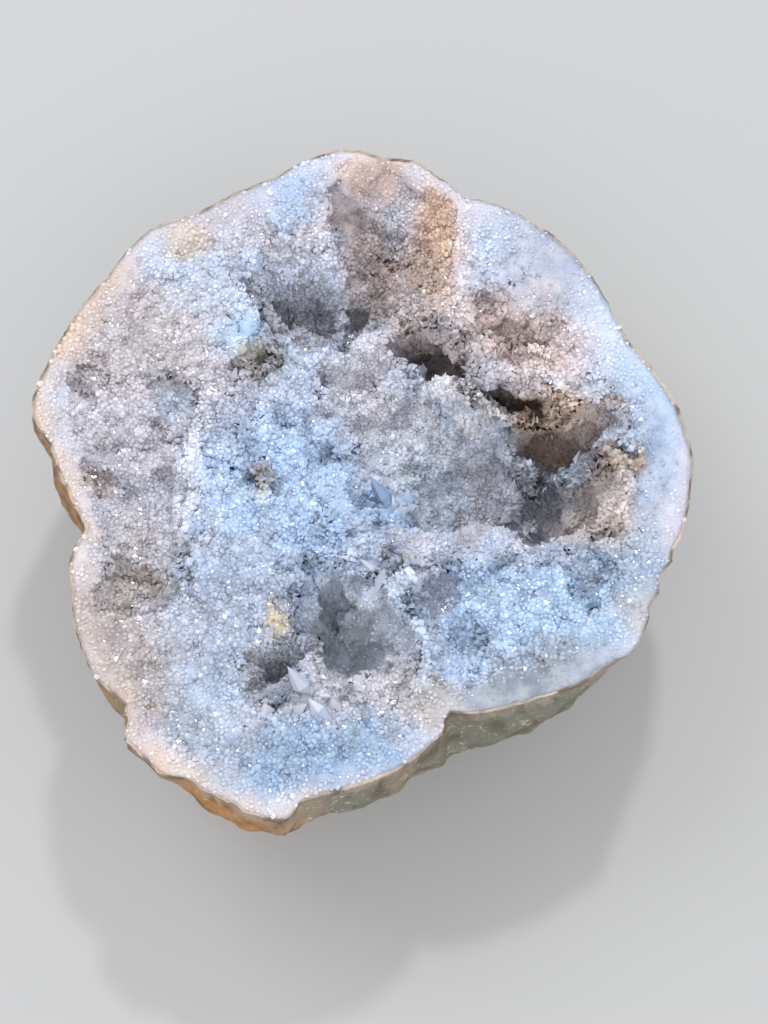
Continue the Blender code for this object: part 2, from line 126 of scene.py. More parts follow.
# The edge of the broken face, seen from above, anticlockwise from the right.
FACE_EDGE = (
    (91.0, -3.0), (90.5, 8.5), (88.0, 17.5), (75.0, 37.5), (72.0, 45.0), (60.0, 66.0),
    (53.5, 72.0), (46.5, 77.0), (39.0, 80.5), (30.5, 82.5), (15.5, 95.0), (7.0, 96.0),
    (-3.0, 99.0), (-7.5, 98.5), (-17.5, 94.5), (-24.5, 89.5), (-46.5, 78.0), (-60.5, 72.5),
    (-68.0, 64.0), (-72.5, 56.5), (-78.0, 49.5), (-82.0, 42.0), (-91.0, 19.0), (-91.0, 14.0),
    (-88.5, 9.5), (-85.5, 5.5), (-80.0, -8.5), (-74.5, -18.0), (-74.5, -21.0), (-77.0, -25.5),
    (-78.0, -30.0), (-76.5, -37.0), (-75.5, -46.5), (-73.0, -53.5), (-69.0, -61.0),
    (-60.5, -68.5), (-59.5, -71.0), (-61.0, -72.5), (-60.5, -77.0), (-53.0, -84.5),
    (-49.5, -87.0), (-45.0, -87.5), (-42.0, -88.5), (-39.0, -91.0), (-31.5, -94.0),
    (-29.5, -96.0), (-20.5, -98.5), (-18.0, -98.5), (-14.5, -94.0), (-11.5, -92.5),
    (8.5, -86.5), (15.0, -82.5), (19.0, -78.5), (22.0, -76.5), (22.5, -72.5), (24.0, -70.5),
    (30.0, -71.0), (46.5, -67.0), (59.5, -62.0), (64.5, -58.0), (71.0, -55.0), (74.5, -51.5),
    (78.0, -41.5), (80.5, -37.0), (81.0, -33.0), (84.0, -29.0), (85.0, -25.5), (88.0, -20.0),
)
EDGE_POINTS = 720

# Chips in the edge: how deep, and how many to a radian.
EDGE_CHIPS = ((0.45, 26.0), (0.25, 90.0))
EDGE_DROP = 1.2
CRUST_EDGE = 3.0
GAP = 0.3
RIND_WALL = 6.0
CRUST_THICKNESS = 6.5
BED_REACH = 6.0
BED_PITCH = 6.0
BED_TESTED_WIDTH = 24.0
THINNEST_QUARTZ = 2.5

# How far inside the edge the quartz's underside starts, elsewhere and by the chute, and where the chute is.
STEP_WIDTHS = (2.4, 0.6)
CHUTE_TURN = (84.0, 34.0)

# The nodule's outside: its roundness, the cut that it rests on, its lowest point and its swells.
BACK_ROUNDNESS = 2.2
RESTING_CUT = 3.0
BACK_POLE = (-3.0, 0.0)
SWELLS = (
    (0, 0.0), (60, 0.5), (120, 1.0), (180, 0.0), (215, -2.0), (232, 0.0), (246, 3.0), (262, 3.0),
    (272, 1.5), (280, 0.5), (288, 2.0), (300, 3.0), (312, 2.0), (322, -0.5), (340, -2.0),
)
SWELL_DEPTH = 44.0
NOTCH_DEPTH = 50.0

# Knobs on the outside: their size and how far they stand out. They start under the edge, and dents are
# shallow at the edge, where the wall is thin.
BACK_PITCH = 1.75
KNOB_BASE = 0.6
KNOBS = ((26.0, 6.0), (11.0, 2.2))
KNOBS_START = 2.0
KNOBS_FADE = 12.0
SMALL_KNOB_BASE = 0.8
SMALL_KNOBS = ((5.2, 1.0), (2.6, 0.45))
SMALL_KNOBS_FADE = 3.0
SMALL_DENT_SHARE = 0.4
PIT_SIZE = 2.1
PIT_DEPTH = 1.1
DENT_DEPTHS = (4.0, 34.0)
DENT_LIMITS = (0.6, 4.6)


def smooth_step(value):
    value = np.clip(value, 0.0, 1.0)
    return value * value * (3.0 - 2.0 * value)


def blend(low, high, share):
    return low + (high - low) * share


def turn_mask(angle, middle, half_width):
    """1 in the middle of a stretch of the round, 0 outside it. In degrees."""
    away = np.abs((np.degrees(angle) - middle + 180.0) % 360.0 - 180.0)
    return smooth_step(1.0 - away / half_width)


def edge_radius(angle):
    """Distance from the middle to the face's edge, in the direction of each angle."""
    corners = np.array(FACE_EDGE)
    corner_angles = np.arctan2(corners[:, 1], corners[:, 0])
    return np.interp(angle, corner_angles, np.hypot(corners[:, 0], corners[:, 1]), period=2 * math.pi)


def rounded_radius(angle):
    """The edge without its notches, which fade down the back."""
    spread = np.radians(np.arange(-24, 25, 4))
    return sum(edge_radius(angle + turn) for turn in spread) / len(spread)


def edge_distance(x, y):
    return edge_radius(np.arctan2(y, x)) - np.hypot(x, y)


def noise_at(points, size, seed=0.0):
    """Smooth noise from -1 to 1, with details of the given size."""
    return np.array([noise.noise(Vector(point) / size + Vector((seed, 0.0, 0.0))) for point in points])


def lump_height(points, size):
    """Rounded lumps with creases between them: 1 on top of a lump, less in a crease."""
    nearest = [noise.voronoi(Vector(point) / size)[0][0] for point in points]
    return 1.0 - np.clip(np.array(nearest), 0.0, 1.0) ** 2


def bare_width(angle):
    """How much of the rind's edge lies bare round the crystals."""
    return 0.6 + 0.5 * np.sin(3.0 * angle + 0.5) * np.sin(7.0 * angle)


def step_width(angle):
    """How far inside the edge the quartz's underside starts."""
    by_chute = np.clip(2.0 * turn_mask(angle, *CHUTE_TURN), 0.0, 1.0)
    return blend(STEP_WIDTHS[0], STEP_WIDTHS[1], by_chute)


def edge_ring(inset, level):
    """Points round the edge, at a level and inside the face's edge by a distance."""
    angle = np.arange(EDGE_POINTS) * 2.0 * math.pi / EDGE_POINTS
    level_angle = np.zeros(EDGE_POINTS)
    chips = 0.0
    for depth, number in EDGE_CHIPS:
        round_edge = np.column_stack([angle * number, level_angle, level_angle])
        chips = chips + depth * (1.0 + noise_at(round_edge, 1.0))
    whole_turn = smooth_step((math.pi - np.abs(angle - math.pi)) / 0.1)
    radius = edge_radius(angle) - inset(angle) - chips * whole_turn
    return np.column_stack([radius * np.cos(angle), radius * np.sin(angle), np.full(EDGE_POINTS, level)])


def face_layout(pitch, seed, weight=None):
    """Triangles over the face, points round its edge first. Weight thins the points inside it."""
    random = np.random.default_rng(seed)
    rows = np.arange(-102.0, 102.0, pitch * math.sqrt(3.0) / 2.0)
    column = np.arange(-94.0, 94.0, pitch)
    lattice = np.vstack([
        np.column_stack([column + 0.5 * pitch * (number % 2), np.full(len(column), row)])
        for number, row in enumerate(rows)])
    lattice += random.uniform(-0.2, 0.2, lattice.shape) * pitch
    edge = edge_ring(bare_width, 0.0)[:, :2]
    inset = 2.2 + 0.5 * pitch
    lattice = lattice[edge_distance(lattice[:, 0], lattice[:, 1]) > inset]
    if weight is not None:
        lattice = lattice[random.random(len(lattice)) < weight(lattice[:, 0], lattice[:, 1])]
    points = [Vector(point) for point in np.vstack([edge, lattice])]
    sides = [(number, (number + 1) % EDGE_POINTS) for number in range(EDGE_POINTS)]
    layout = delaunay_2d_cdt(points, sides, [], 1, 0.001)
    return np.array([tuple(point) for point in layout[0]]), np.array(layout[2])


def normals_of(points, triangles):
    corners = points[triangles]
    slopes = np.cross(corners[:, 1] - corners[:, 0], corners[:, 2] - corners[:, 0])
    normals = np.zeros_like(points)
    for column in range(3):
        np.add.at(normals, triangles[:, column], slopes)
    return normals / np.maximum(np.linalg.norm(normals, axis=1), 1e-9)[:, None]


def back_depth(x, y):
    """Depth of the nodule's outside below the face."""
    share = np.clip(np.hypot(x, y) / edge_radius(np.arctan2(y, x)), 0.0, 1.0)
    return FACE_HEIGHT * (1.0 - share ** BACK_ROUNDNESS) ** (1.0 / BACK_ROUNDNESS)


# Hollows in the face: name, centre x and y, half length, half width, turn in degrees,
# depth, and the share of the way to the centre that the sloping wall takes.
HOLLOWS = (
    ("main bowl", 16, 12, 58, 46, -28, 32, 0.9),
    ("upper bowl", -2, 52, 36, 27, -8, 23, 0.9),
    ("bowl floor", 30, 2, 32, 27, -20, 45, 0.8),
    ("upper left recess", -17, 55, 18, 11, -14, 28, 0.65),
    ("middle channel", -3, 52, 7, 24, 4, 28, 0.9),
    ("top chute", 9, 72, 18, 32, 0, 22, 1.0),
    ("curtain cave", 25, 41, 17, 8.5, -25, 43, 0.5),
    ("cave between", 42, 30, 12, 8, -30, 43, 0.5),
    ("right cave", 56, 13, 17, 11, -24, 46, 0.5),
    ("right floor", 50, -6, 21, 18, -10, 45, 0.7),
    ("right slit", 71, 4, 7, 2.2, -42, 9, 1.0),
    ("right pocket", 62, -33, 5, 6, 10, 10, 1.0),
    ("valley", 22, -42, 7, 22, 8, 14, 1.0),
    ("lower hole", -6, -44, 12, 20, 24, 34, 0.6),
    ("hole slope", 2, -47, 13, 20, 24, 21, 1.0),
    ("small hole", -26, -58, 7, 6, 20, 15, 0.9),
    ("left trough", -60, -8, 15, 35, 8, 11, 0.7),
    ("trough pocket", -70, -5, 6, 4, -10, 12, 1.0),
    ("trough hollow", -60, -34, 11, 6, 22, 10, 1.0),
    ("edge pocket", -54, 18, 8, 6, 0, 7, 1.0),
    ("small pit", -77, 28, 3, 2, 20, 5, 0.8),
    ("seam pocket", -31, 35, 9, 4, -8, 13, 1.0),
    ("tan crack", -26, -3, 2.5, 7, 5, 8, 1.0),
    ("deep void", -2, 14, 4, 5, 0, 32, 0.7),
    ("side void", -14, 28, 2.5, 5, 0, 26, 0.7),
    ("crease under pale lump", 46, 51, 13, 4, -14, 11, 0.9),
    ("crease beside pale lump", 37, 58, 3, 6, 20, 7, 1.0),
)

# Rounded masses on the face: name, centre x and y, half length, half width, turn, height.
LOBES = (
    ("left crest", -43, -8, 6, 32, -4, 5.0),
    ("left face top", -22, 25, 12, 9, -10, 4.5),
    ("left face right", -7, 15, 9, 8, 0, 4.5),
    ("left face middle", -4, -3, 12, 11, 0, 5.5),
    ("left face side", -24, 8, 8, 10, 0, 3.5),
    ("left face outer", -26, -20, 12, 11, 0, 3.5),
    ("left face low", -7, -20, 12, 6, 8, 4.5),
    ("hole left rim", -21, -38, 5, 12, 14, 3.5),
    ("pink lump back", 10, 50, 9, 7, -10, 6.0),
    ("pink lump front", 5, 39, 8, 7, 0, 7.0),
    ("pink lump low", 6, 28, 9, 5, 0, 5.0),
    ("middle lobe", 30, 27, 11, 9, -12, 26.0),
    ("curtain lump", 30, 38, 6, 5, -10, 4.0),
    ("curtain left", 22, 50, 9, 8, -18, 4.0),
    ("curtain tongue", 45, 26, 6, 12, 6, 4.0),
    ("curtain right", 60, 28, 12, 9, -40, 7.0),
    ("pale lump", 49, 58, 12, 7, -20, 4.0),
    ("peach lump", 39, 46, 7, 6, -10, 5.5),
    ("chute lump left", 5, 68, 4, 7, 0, 4.5),
    ("chute lump right", 12, 76, 5, 5, 0, 4.0),
    ("chute lump low", 15, 61, 6, 5, 0, 4.5),
    ("cave lump", 50, 11, 5, 5, 0, 5.0),
    ("peach floor lump", 64, 3, 8, 5, -20, 7.0),
    ("round lump", 49, -4, 3.5, 3.5, 0, 4.0),
    ("right lobe", 68, -15, 9, 18, -10, 4.0),
    ("lower right mass", 36, -30, 10, 8, 0, 4.5),
    ("lower right middle", 52, -34, 9, 9, 0, 4.0),
    ("lower right low", 44, -49, 13, 9, 0, 3.0),
    ("blue crystals", 10, -6, 7, 6, 0, 6.0),
    ("ridge", 13, -44, 7, 24, 12, 8.0),
    ("septum", -14, -57, 4, 8, 25, 6.0),
    ("scalloped lobe", -35, 45, 8, 7, 0, 5.0),
    ("scalloped finger", -33, 40, 3, 4, 0, 4.0),
    ("drip lobe", -10, 66, 9, 13, 0, 4.5),
    ("band lump upper", -50, 52, 13, 8, 45, 2.0),
    ("right band", 80, 12, 8, 26, -18, 2.5),
    ("lower band", -15, -79, 32, 11, 4, 2.5),
)

# Lips that hang over a hollow: name, centre x and y, half length, half width, turn,
# and how far the lip leans out in x and y.
LIPS = (
    ("curtain", 48, 46, 46, 34, -28, -2.0, -11.0),
    ("recess lip", -20, 70, 32, 18, -8, 0.5, -5.0),
    ("scalloped lip", -42, 44, 18, 18, 0, 5.0, -2.0),
    ("crest lip", -38, -8, 16, 36, -4, -4.0, 0.0),
    ("lower right lip", 38, -38, 30, 22, 20, -1.5, 2.5),
    ("lower hole lip", -24, -40, 18, 26, 20, 4.0, 0.0),
    ("hole upper lip", -6, -20, 18, 14, 0, 0.0, -4.0),
)
LIP_FALL = 0.6
LIP_INSET = 16.0
LIP_DEPTHS = (26.0, 12.0)

# The spacing of the ground's points.
GROUND_PITCH = 0.56

# Rounded lumps all over the hollows: their size and how far they stand out.
LUMPS = ((14.0, 8.5), (7.0, 4.5))
SMALL_LUMPS = ((3.6, 2.2),)

# Painted shade: the creases between them are painted darker: the size of the lumps, and how much.
CREASE_SHADE = ((7.0, 1.2), (3.6, 0.8))

# How the relief is put together.
LUMP_BASE = 0.75
DEEPEST_CREASE = 4.0
LUMPS_ON_BAND = 0.15
LOBE_ROUNDNESS = 0.6
GENTLE_WALL = 0.75
LUMPS_FREE_DEPTH = 14.0
WANDER = ((4.0, 16.0), (2.2, 5.5))
HOLLOW_BLEND = 5.0
FLATTEN_FROM = 2.5
HIGHEST = -1.0
EDGE_ROUNDING = 8.0
WHOLE_WALL = 11.0
BAND_REACH = (2.0, 14.0)


def reach(x, y, centre_x, centre_y, half_length, half_width, turn):
    """How far out each point lies in a turned ellipse: 0 in the middle, 1 on its edge."""
    cosine = math.cos(math.radians(turn))
    sine = math.sin(math.radians(turn))
    along = (x - centre_x) * cosine + (y - centre_y) * sine
    across = (y - centre_y) * cosine - (x - centre_x) * sine
    return np.hypot(along / half_length, across / half_width)


def wall_fall(inside):
    """The fall of a hollow's wall, from 0 at its edge to 1 on its floor."""
    inside = np.clip(inside, 0.0, 1.0)
    return GENTLE_WALL * smooth_step(inside) + (1.0 - GENTLE_WALL) * inside * (2.0 - inside)


def hollow_depth(x, y):
    total = 0.0
    for _, centre_x, centre_y, half_length, half_width, turn, depth, wall in HOLLOWS:
        inside = 1.0 - reach(x, y, centre_x, centre_y, half_length, half_width, turn)
        total = total + (depth * wall_fall(inside / wall)) ** HOLLOW_BLEND
    return total ** (1.0 / HOLLOW_BLEND)


def lobe_height(x, y):
    height = 0.0
    for _, centre_x, centre_y, half_length, half_width, turn, rise in LOBES:
        out = reach(x, y, centre_x, centre_y, half_length, half_width, turn)
        height = height + rise * np.clip(1.0 - out * out, 0.0, 1.0) ** LOBE_ROUNDNESS
    return height


def wander(x, y):
    """Moves points a little, so that the named shapes lose their even outlines."""
    level = np.zeros(len(x))
    for far, size in WANDER:
        x = x + far * noise_at(np.column_stack([x, y, level]), size, 2.0)
        y = y + far * noise_at(np.column_stack([x, y, level]), size, 9.0)
    return x, y


def surface_depth(x, y):
    """Depth of the crystal surface below the face, before lumps and crystals."""
    wandered_x, wandered_y = wander(x, y)
    depth = hollow_depth(wandered_x, wandered_y) - lobe_height(wandered_x, wandered_y)
    room = FLATTEN_FROM - HIGHEST
    flattened = FLATTEN_FROM - room * (1.0 - np.exp(-np.maximum(FLATTEN_FROM - depth, 0.0) / room))
    depth = np.where(depth < FLATTEN_FROM, flattened, depth)
    deepest = np.maximum(back_depth(x, y) - WHOLE_WALL, EDGE_DROP)
    inner = smooth_step(edge_distance(x, y) / EDGE_ROUNDING)
    return blend(EDGE_DROP, np.minimum(depth, deepest), inner)


def bed_depth(x, y):
    """Depth of the rind's inner surface, which is smoother and wider than the hollows."""
    depth = surface_depth(x, y)
    for angle in np.arange(8) * math.pi / 4.0:
        side_x = x + BED_REACH * math.cos(angle)
        side_y = y + BED_REACH * math.sin(angle)
        depth = np.maximum(depth, surface_depth(side_x, side_y))
    deepest = np.maximum(back_depth(x, y) - RIND_WALL, EDGE_DROP + CRUST_EDGE)
    return np.minimum(depth + CRUST_THICKNESS, deepest)


def bed_surface(lift):
    """The surface between the rind and the quartz, facing up, its edge first."""
    flat, triangles = face_layout(BED_PITCH, 5)
    depth = bed_depth(flat[:, 0], flat[:, 1])
    depth[:EDGE_POINTS] = EDGE_DROP + CRUST_EDGE
    return np.column_stack([flat, FACE_HEIGHT - depth + lift]), triangles


def band_between(lower, upper):
    """Triangles between two rings of edge points, given as the number of each ring's first point."""
    number = np.arange(EDGE_POINTS)
    after = (number + 1) % EDGE_POINTS
    first = np.column_stack([lower + number, lower + after, upper + after])
    second = np.column_stack([lower + number, upper + after, upper + number])
    return np.vstack([first, second])


# The kind of attribute for one, three or four numbers a point, and the field that takes them.
VALUE_KINDS = {1: ("FLOAT", "value"), 3: ("FLOAT_VECTOR", "vector"), 4: ("FLOAT_COLOR", "color")}


def make_piece(name, points, triangles, attributes, material):
    """A finished mesh in the frame, with its attributes."""
    mesh = bpy.data.meshes.new(name)
    mesh.from_pydata(((points + ROW_SHIFT) * MM).tolist(), [], triangles.tolist())
    for title, values in attributes.items():
        kind, field = VALUE_KINDS[values.size // len(points)]
        attribute = mesh.attributes.new(title, kind, "POINT")
        attribute.data.foreach_set(field, values.astype(np.float32).ravel())
    mesh.materials.append(material)
    return add_object(name, mesh)


def back_places(flat):
    """Where each point of the layout lies on the nodule's rounded outside."""
    angle = np.arctan2(flat[:, 1], flat[:, 0])
    edge = edge_radius(angle)
    ring = np.hypot(*edge_ring(bare_width, 0.0)[:, :2].T)
    ring_angles = np.arange(EDGE_POINTS) * 2.0 * math.pi / EDGE_POINTS
    limit = np.interp(angle, ring_angles, ring, period=2.0 * math.pi)
    share = np.clip(np.hypot(flat[:, 0], flat[:, 1]) / limit, 0.0, 1.0)
    power = 2.0 / BACK_ROUNDNESS
    out = np.sin(0.5 * math.pi * share) ** power
    down = np.clip(np.cos(0.5 * math.pi * share), 0.0, 1.0) ** power
    depth = down * (FACE_HEIGHT - EDGE_DROP + RESTING_CUT)
    notched = 1.0 - smooth_step(depth / NOTCH_DEPTH)
    outer_ring = np.hypot(*edge_ring(lambda turn: 0.0 * turn, 0.0)[:, :2].T)
    outer = np.interp(angle, ring_angles, outer_ring, period=2.0 * math.pi)
    radius = out * blend(rounded_radius(angle), outer, notched)
    swell_angles, swells = np.array(SWELLS).T
    swell = np.interp(np.degrees(angle), swell_angles, swells, period=360.0)
    radius = radius + swell * np.sin(math.pi * np.clip(depth / SWELL_DEPTH, 0.0, 1.0))
    x = radius * np.cos(angle) + BACK_POLE[0] * down
    y = radius * np.sin(angle) + BACK_POLE[1] * down
    return np.column_stack([x, y, FACE_HEIGHT - EDGE_DROP - depth])


def deepest_dent(depth):
    """How far the outside may be pushed in, less near the edge, where the wall is thin."""
    below = smooth_step((depth - DENT_DEPTHS[0]) / (DENT_DEPTHS[1] - DENT_DEPTHS[0]))
    return blend(DENT_LIMITS[0], DENT_LIMITS[1], below)


def rind_shape():
    """Bed, step, bare edge and knobbly outside, joined ring by ring."""
    bed, bed_triangles = bed_surface(0.0)
    top = FACE_HEIGHT - EDGE_DROP
    step = edge_ring(step_width, top - CRUST_EDGE - GAP)
    bed[:EDGE_POINTS] = step
    inner_rim = edge_ring(bare_width, top)
    flat, back_triangles = face_layout(BACK_PITCH, 7)
    back = back_places(flat)
    back_triangles = back_triangles[:, ::-1]
    below_edge = smooth_step((top - back[:, 2] - KNOBS_START) / KNOBS_FADE)
    push = sum(rise * (lump_height(back, size) - KNOB_BASE) for size, rise in KNOBS)
    push = np.maximum(push * below_edge, -deepest_dent(top - back[:, 2]))
    back = back + normals_of(back, back_triangles) * push[:, None]
    below_edge = smooth_step((top - back[:, 2]) / SMALL_KNOBS_FADE)
    push = sum(rise * (lump_height(back, size) - SMALL_KNOB_BASE) for size, rise in SMALL_KNOBS)
    pits = -PIT_DEPTH * smooth_step((noise_at(back, PIT_SIZE, 9.0) - 0.42) / 0.2)
    push = np.maximum((push + pits) * below_edge, -SMALL_DENT_SHARE * deepest_dent(top - back[:, 2]))
    back = back + normals_of(back, back_triangles) * push[:, None]
    back[:, 2] = np.maximum(back[:, 2], 0.0)
    points = np.vstack([bed, inner_rim, back])
    rim_start = len(bed)
    back_start = rim_start + EDGE_POINTS
    triangles = np.vstack([
        bed_triangles, band_between(0, rim_start), band_between(rim_start, back_start),
        back_triangles + back_start])
    return points, triangles


def add_node(tree, kind, **settings):
    node = tree.nodes.new(kind)
    for name, value in settings.items():
        setattr(node, name, value)
    return node


def new_material(name):
    material = bpy.data.materials.new(name)
    material.use_nodes = True
    return material, material.node_tree, material.node_tree.nodes["Principled BSDF"]


def mineral_grain():
    """A node group: fine grain over a surface as a height, and soft clouding as a mask."""
    group = bpy.data.node_groups.new("mineral_grain", "ShaderNodeTree")
    group.interface.new_socket("Grain size", in_out="INPUT", socket_type="NodeSocketFloat")
    group.interface.new_socket("Cloud size", in_out="INPUT", socket_type="NodeSocketFloat")
    group.interface.new_socket("Height", in_out="OUTPUT", socket_type="NodeSocketFloat")
    group.interface.new_socket("Cloud", in_out="OUTPUT", socket_type="NodeSocketFloat")
    given = add_node(group, "NodeGroupInput")
    result = add_node(group, "NodeGroupOutput")
    place = add_node(group, "ShaderNodeTexCoord")
    for size, output, detail in (("Grain size", "Height", 5.0), ("Cloud size", "Cloud", 3.0)):
        scale = add_node(group, "ShaderNodeMath", operation="DIVIDE")
        scale.inputs[0].default_value = 1.0
        group.links.new(given.outputs[size], scale.inputs[1])
        grain = add_node(group, "ShaderNodeTexNoise")
        grain.inputs["Detail"].default_value = detail
        grain.inputs["Roughness"].default_value = 0.6
        group.links.new(place.outputs["Object"], grain.inputs["Vector"])
        group.links.new(scale.outputs[0], grain.inputs["Scale"])
        group.links.new(grain.outputs["Fac"], result.inputs[output])
    return group


grain_group = mineral_grain()


def place_grain(tree, grain_size, cloud_size):
    node = add_node(tree, "ShaderNodeGroup", node_tree=grain_group)
    node.inputs["Grain size"].default_value = grain_size
    node.inputs["Cloud size"].default_value = cloud_size
    return node


def fill(tree, value, socket):
    """Links a socket to an output, or sets it to a plain value."""
    if isinstance(value, bpy.types.NodeSocket):
        tree.links.new(value, socket)
    elif isinstance(value, tuple):
        socket.default_value = (*value, 1.0)
    else:
        socket.default_value = value


def mix_colours(tree, share, first, second):
    """A colour mix. Each of the three is an output or a plain value."""
    mix = add_node(tree, "ShaderNodeMix", data_type="RGBA")
    fill(tree, share, mix.inputs["Factor"])
    fill(tree, first, mix.inputs[6])
    fill(tree, second, mix.inputs[7])
    return mix.outputs[2]


def stretch(tree, value, low, high, to_low=0.0, to_high=1.0):
    """Maps a range of a value smoothly to another."""
    node = add_node(tree, "ShaderNodeMapRange", interpolation_type="SMOOTHSTEP")
    tree.links.new(value, node.inputs["Value"])
    numbers = {"From Min": low, "From Max": high, "To Min": to_low, "To Max": to_high}
    for title, number in numbers.items():
        node.inputs[title].default_value = number
    return node.outputs["Result"]


def read_attribute(tree, name, output="Fac"):
    return add_node(tree, "ShaderNodeAttribute", attribute_name=name).outputs[output]


def add_bump(tree, shader, height, distance, strength=1.0):
    bump = add_node(tree, "ShaderNodeBump")
    bump.inputs["Distance"].default_value = distance
    bump.inputs["Strength"].default_value = strength
    tree.links.new(height, bump.inputs["Height"])
    tree.links.new(bump.outputs["Normal"], shader.inputs["Normal"])


def rind_finish():
    """Rough chalcedony: tan and brown clouds, orange iron stain, grey-green skin, darker in the creases
    between its knobs.
    """
    material, tree, shader = new_material("stained_rind")
    grain = place_grain(tree, 0.0016, 0.016)
    cloud = stretch(tree, grain.outputs["Cloud"], 0.40, 0.62)
    colour = mix_colours(tree, cloud, (0.30, 0.22, 0.145), (0.44, 0.35, 0.25))
    colour = mix_colours(tree, read_attribute(tree, "grey_green"), colour, (0.185, 0.195, 0.155))
    colour = mix_colours(tree, read_attribute(tree, "rust"), colour, (0.50, 0.21, 0.045))
    colour = mix_colours(tree, read_attribute(tree, "rim"), colour, (0.66, 0.55, 0.46))
    speck = stretch(tree, grain.outputs["Height"], 0.56, 0.70)
    colour = mix_colours(tree, speck, colour, (0.62, 0.52, 0.40))
    colour = mix_colours(tree, read_attribute(tree, "crease"), colour, (0.10, 0.065, 0.04))
    tree.links.new(colour, shader.inputs["Base Color"])
    roughness = stretch(tree, grain.outputs["Height"], 0.3, 0.7, 0.9, 0.62)
    tree.links.new(roughness, shader.inputs["Roughness"])
    add_bump(tree, shader, grain.outputs["Height"], 0.0009)
    return material


# Stained stretches of the round: the middle and half width in degrees, and the strength. For the grey-green
# skin also how uneven it is and its most.
RUSTY = ((248.0, 20.0, 1.2), (182.0, 26.0, 0.9), (215.0, 30.0, 0.7), (150.0, 30.0, 0.5), (60.0, 14.0, 0.4))
GREY_GREEN = ((302.0, 36.0, 1.3, 0.5, 0.95), (270.0, 12.0, 1.0, 0.4, 0.9), (350.0, 40.0, 0.9, 0.5, 0.8))

rind_points, rind_triangles = rind_shape()
rind_angle = np.arctan2(rind_points[:, 1], rind_points[:, 0])
patchy = noise_at(rind_points, 14.0, 3.0) + 0.5 * noise_at(rind_points, 5.0, 5.0)
rust = np.maximum.reduce([
    strength * turn_mask(rind_angle, middle, half_width) for middle, half_width, strength in RUSTY])
rust = np.clip(rust + 0.9 * patchy - 0.15, 0.0, 1.0) * 0.9
grey_green = np.maximum.reduce([
    np.clip(strength * turn_mask(rind_angle, middle, half_width) + uneven * patchy, 0.0, most)
    for middle, half_width, strength, uneven, most in GREY_GREEN])
rust = rust * (1.0 - 0.85 * grey_green)
crease = 1.0 - lump_height(rind_points, 5.2)
crease = smooth_step((crease - 0.25) / 0.3) * 0.75
rim = smooth_step((rind_points[:, 2] - FACE_HEIGHT + 5.0) / 3.0)
rim = rim * np.clip(0.75 + 0.8 * patchy, 0.0, 1.0) * 0.9
rind = make_piece(
    "rind_stone", rind_points, rind_triangles,
    {"rust": rust, "grey_green": grey_green, "crease": crease, "rim": rim}, rind_finish())
rind.data.shade_smooth()
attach(rind, "root")
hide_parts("rind")


# The massive quartz: the milky, bluish body that fills the rind and carries the crystals.
# It shows as a smooth, hazy band round the face, and under the druse in the hollows. Its lumps and hollows
# grew that way. Iron and clay tint it peach, brown and grey in places, and its creases get painted shade.

def steepness(x, y):
    """More points go where the surface is steep."""
    step = 0.5
    depth = surface_depth(x, y)
    across = (surface_depth(x + step, y) - depth) / step
    along = (surface_depth(x, y + step) - depth) / step
    return np.clip(np.sqrt(1.0 + across ** 2 + along ** 2) / 2.4, 0.5, 1.0)


def druse_share(x, y, depth):
    """1 where crystals line a hollow, 0 on the solid milky band by the edge."""
    from_edge = smooth_step((edge_distance(x, y) - BAND_REACH[0]) / (BAND_REACH[1] - BAND_REACH[0]))
    return np.maximum(from_edge, smooth_step((depth - 4.0) / 8.0))


def lean_lips(points):
    """Leans the lips out over their hollows, more the higher a point lies."""
    x, y = points[:, 0], points[:, 1]
    depth = FACE_HEIGHT - points[:, 2]
    above = smooth_step((LIP_DEPTHS[0] - depth) / (LIP_DEPTHS[0] - LIP_DEPTHS[1]))
    leaned = points.copy()
    for _, centre_x, centre_y, half_length, half_width, turn, lean_x, lean_y in LIPS:
        inside = 1.0 - reach(x, y, centre_x, centre_y, half_length, half_width, turn)
        weight = above * smooth_step(inside / LIP_FALL) * smooth_step(edge_distance(x, y) / LIP_INSET)
        leaned[:, 0] += weight * lean_x
        leaned[:, 1] += weight * lean_y
    return leaned


def keep_above_bed(points):
    """Lifts what would come through the bed, so that the quartz is whole over the rind."""
    bed, bed_triangles = bed_surface(GAP)
    tree = BVHTree.FromPolygons(bed.tolist(), bed_triangles.tolist())
    inside = edge_distance(points[:, 0], points[:, 1]) < BED_TESTED_WIDTH
    lifted = points.copy()
    for number in np.flatnonzero(inside):
        x, y = points[number, 0], points[number, 1]
        below = tree.ray_cast(Vector((x, y, FACE_HEIGHT + 10.0)), Vector((0.0, 0.0, -1.0)))[0]
        if below is not None:
            lifted[number, 2] = max(points[number, 2], below.z + THINNEST_QUARTZ)
    return lifted


